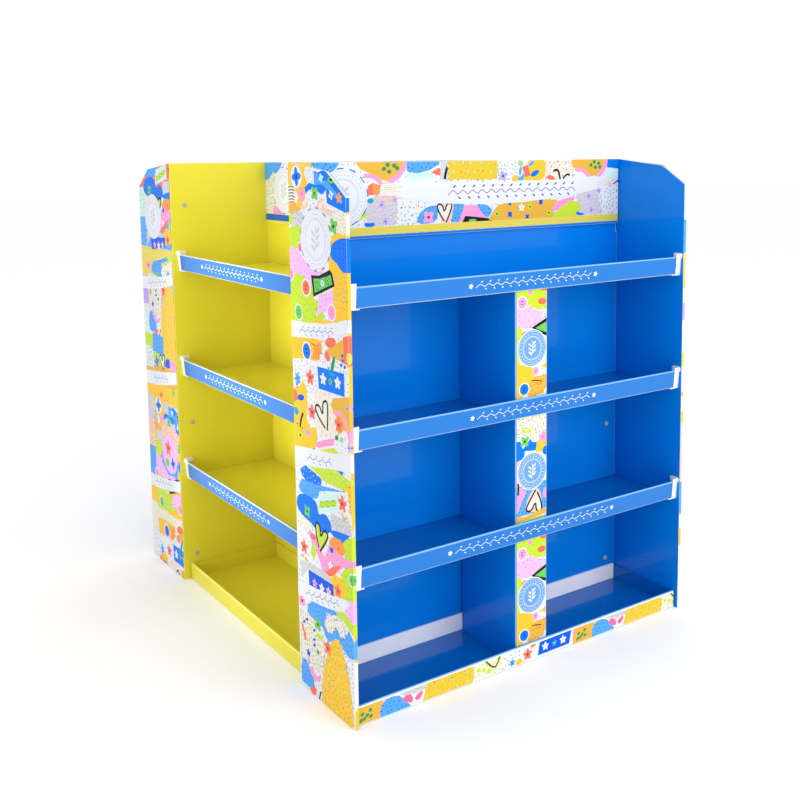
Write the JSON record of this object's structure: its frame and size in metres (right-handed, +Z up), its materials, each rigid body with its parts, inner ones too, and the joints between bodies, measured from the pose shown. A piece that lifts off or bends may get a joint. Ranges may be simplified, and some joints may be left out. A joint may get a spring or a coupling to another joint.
{
  "type": "cardboard display stand",
  "caption": "Free-standing four-sided shelf display folded from printed corrugated board, with lipped shelves, box dividers, headers and moulded shelf clips.",
  "frame": {"origin": "on the ground, in the middle of the stand's footprint", "axes": "+X along the wide bays, +Y along the narrow bays and towards the rear wide bay, +Z up; the front wide bay faces -Y and the left narrow bay faces -X"},
  "size_m": [1, 1.2, 1.186],
  "materials": {
    "blue_board": "corrugated board, blue print with a gloss varnish",
    "yellow_board": "corrugated board, yellow print with a gloss varnish; the end walls carry the collage print",
    "printed_board": "corrugated board, many-coloured collage print with a gloss varnish",
    "white_plastic": "white injection-moulded plastic, satin",
    "clear_plastic": "natural white push rivets, slightly translucent"
  },
  "bodies": {
    "root": {"front_liner": "blue_board", "rear_liner": "blue_board", "left_liner": "yellow_board", "right_liner": "yellow_board", "front_header": "printed_board", "rear_header": "printed_board", "left_header": "printed_board", "right_header": "printed_board", "front_shelf_1": "blue_board", "front_shelf_2": "blue_board", "front_shelf_3": "blue_board", "rear_shelf_1": "blue_board", "rear_shelf_2": "blue_board", "rear_shelf_3": "blue_board", "left_shelf_1": "yellow_board", "left_shelf_2": "yellow_board", "left_shelf_3": "yellow_board", "right_shelf_1": "yellow_board", "right_shelf_2": "yellow_board", "right_shelf_3": "yellow_board", "front_base_tray": "blue_board", "rear_base_tray": "blue_board", "left_base_tray": "yellow_board", "right_base_tray": "yellow_board", "front_divider_1": "printed_board", "front_divider_2": "printed_board", "front_divider_3": "printed_board", "rear_divider_1": "printed_board", "rear_divider_2": "printed_board", "rear_divider_3": "printed_board", "front_shelf_clips": "white_plastic", "rear_shelf_clips": "white_plastic", "left_shelf_clips": "white_plastic", "right_shelf_clips": "white_plastic", "wall_rivets": "clear_plastic"}
  },
  "joints": []
}
